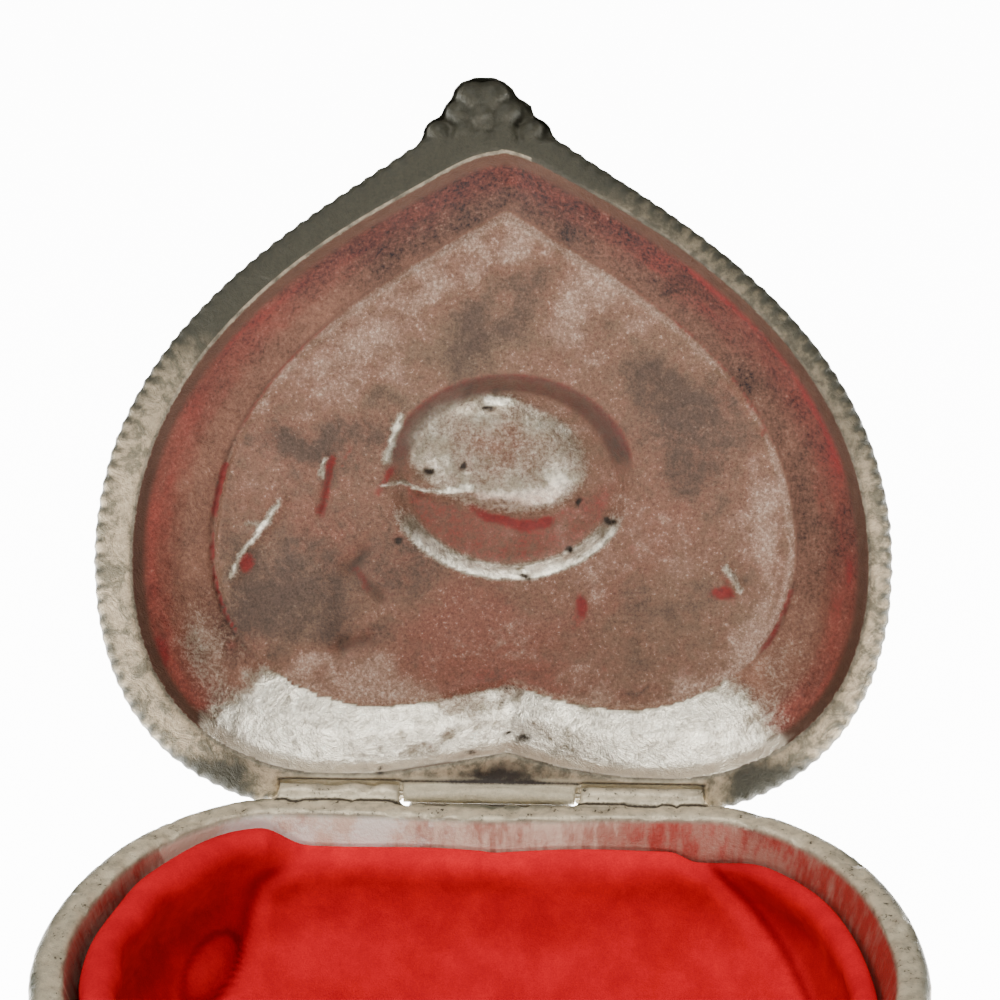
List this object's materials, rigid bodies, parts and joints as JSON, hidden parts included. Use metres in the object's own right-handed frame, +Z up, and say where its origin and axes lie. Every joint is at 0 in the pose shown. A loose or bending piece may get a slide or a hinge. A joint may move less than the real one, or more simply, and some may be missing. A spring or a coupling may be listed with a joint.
{
  "type": "jewelry box",
  "caption": "Heart-shaped silver-plated jewelry box with a roped lid edge, hinged lid standing open and a red cloth lining.",
  "frame": {"origin": "middle of the flat underside, halfway between the tip and the back", "axes": "+Z up, +Y to the back where the hinge runs along X, tip of the heart towards -Y"},
  "size_m": [0.0897, 0.1006, 0.1068],
  "materials": {
    "cast_silver": "satin",
    "pin_steel": "satin",
    "red_cloth": "matte"
  },
  "bodies": {
    "base": {"base": "cast_silver", "lining": "red_cloth", "hinge_pin": "pin_steel"},
    "lid": {"lid": "cast_silver"}
  },
  "joints": [
    {"name": "lid_hinge", "type": "hinge", "parent": "base", "child": "lid", "pos_m": [0, 0.038, 0.03], "axis": [1, 0, 0], "range_deg": [0, 105]}
  ]
}
